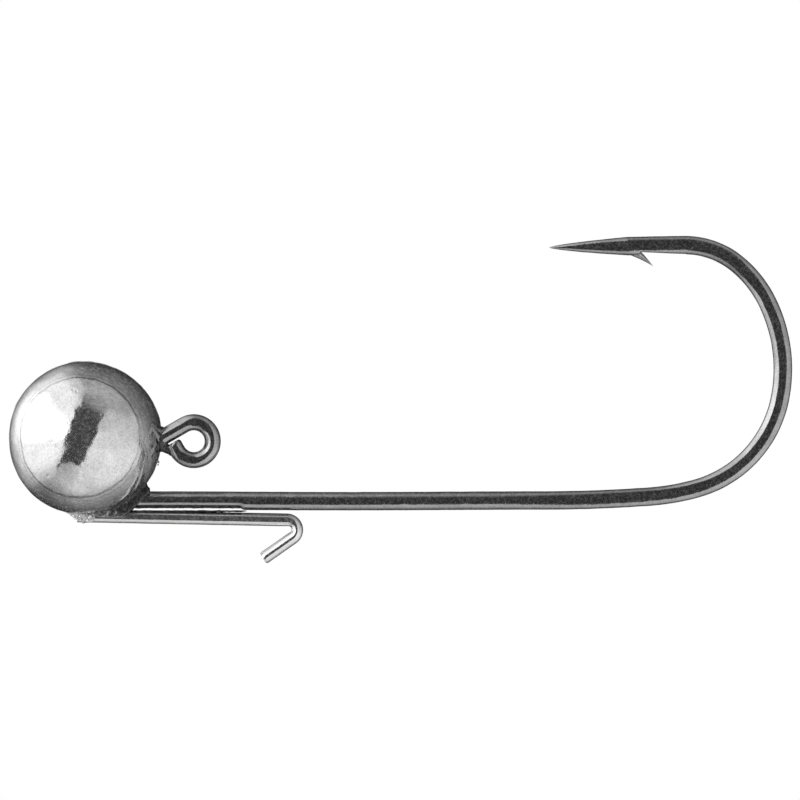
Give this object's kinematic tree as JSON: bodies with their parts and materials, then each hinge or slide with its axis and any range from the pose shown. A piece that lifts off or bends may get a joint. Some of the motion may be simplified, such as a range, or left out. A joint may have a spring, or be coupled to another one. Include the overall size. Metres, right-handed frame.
{
  "type": "jig head",
  "caption": "Round cast-lead jig head on a wide-gap single hook, with a line eye behind the ball and a wire bait keeper under the shank.",
  "frame": {"origin": "centre of the line eye, where the fishing line is tied and the jig head hangs", "axes": "+X along the shank from the ball to the bend, +Z from the shank to the hook point, Y across the plane of the bent wire"},
  "size_m": [0.0549, 0.0108, 0.023],
  "materials": {
    "cast_lead": "satin",
    "black_nickel": "gloss",
    "stainless_wire": "polished"
  },
  "bodies": {
    "root": {"lead_head": "cast_lead", "hook": "black_nickel", "bait_keeper": "stainless_wire"}
  },
  "joints": []
}
